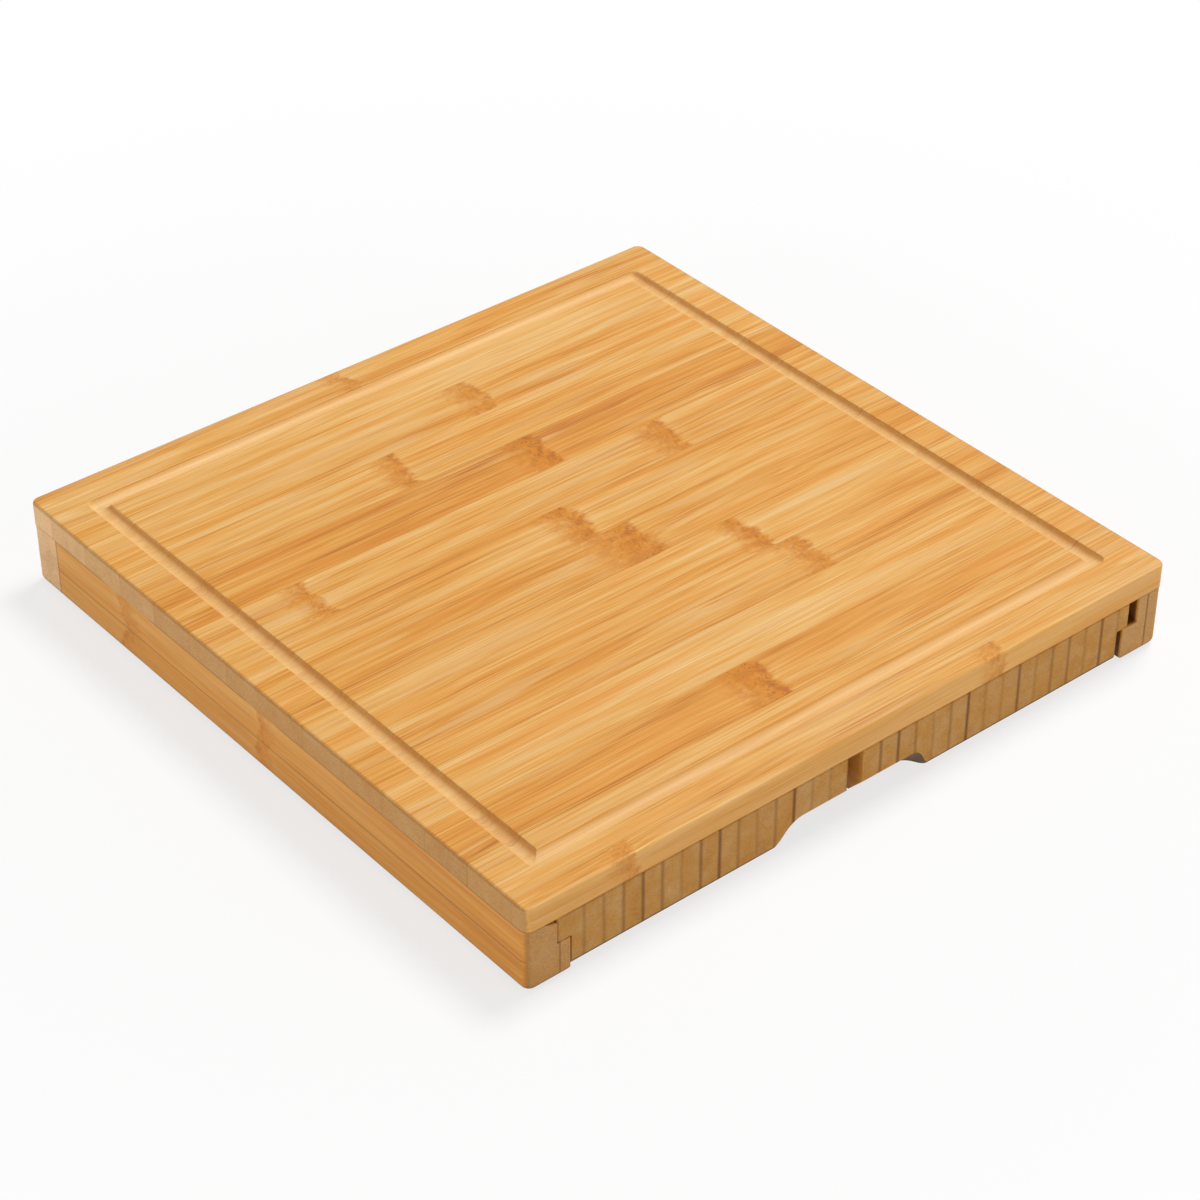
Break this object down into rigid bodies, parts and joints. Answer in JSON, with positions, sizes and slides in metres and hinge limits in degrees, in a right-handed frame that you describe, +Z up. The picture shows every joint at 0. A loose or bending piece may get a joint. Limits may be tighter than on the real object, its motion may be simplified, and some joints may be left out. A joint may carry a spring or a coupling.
{
  "type": "cutting board with drawer trays",
  "caption": "Square wooden cutting board with a juice groove, on a low frame with tray drawers that slide out at the front.",
  "frame": {"origin": "middle of the underside, on the surface that the frame stands on", "axes": "+X along the front edge to the right, +Y to the back, +Z up; the drawers open towards -Y"},
  "size_m": [0.33, 0.33, 0.04],
  "materials": {
    "board_bamboo": "oiled flat-pressed bamboo, long grain along X",
    "frame_bamboo": "oiled bamboo strips, long grain along each rail",
    "drawer_bamboo": "oiled side-pressed bamboo, end grain on the fronts"
  },
  "bodies": {
    "board": {"board_stave_01": "board_bamboo", "board_stave_02": "board_bamboo", "board_stave_03": "board_bamboo", "board_stave_04": "board_bamboo", "board_stave_05": "board_bamboo", "board_stave_06": "board_bamboo", "board_stave_07": "board_bamboo", "board_stave_08": "board_bamboo", "board_stave_09": "board_bamboo", "board_stave_10": "board_bamboo", "board_stave_11": "board_bamboo", "board_stave_12": "board_bamboo", "board_stave_13": "board_bamboo", "board_stave_14": "board_bamboo", "left_rail": "frame_bamboo", "right_rail": "frame_bamboo", "back_rail": "frame_bamboo", "centre_rail": "frame_bamboo"},
    "left_drawer": {"left_drawer": "drawer_bamboo"},
    "right_drawer": {"right_drawer": "drawer_bamboo"}
  },
  "joints": [
    {"name": "left_drawer_slide", "type": "slide", "parent": "board", "child": "left_drawer", "axis": [0, -1, 0], "range_m": [0, 0.26]},
    {"name": "right_drawer_slide", "type": "slide", "parent": "board", "child": "right_drawer", "axis": [0, -1, 0], "range_m": [0, 0.26]}
  ]
}
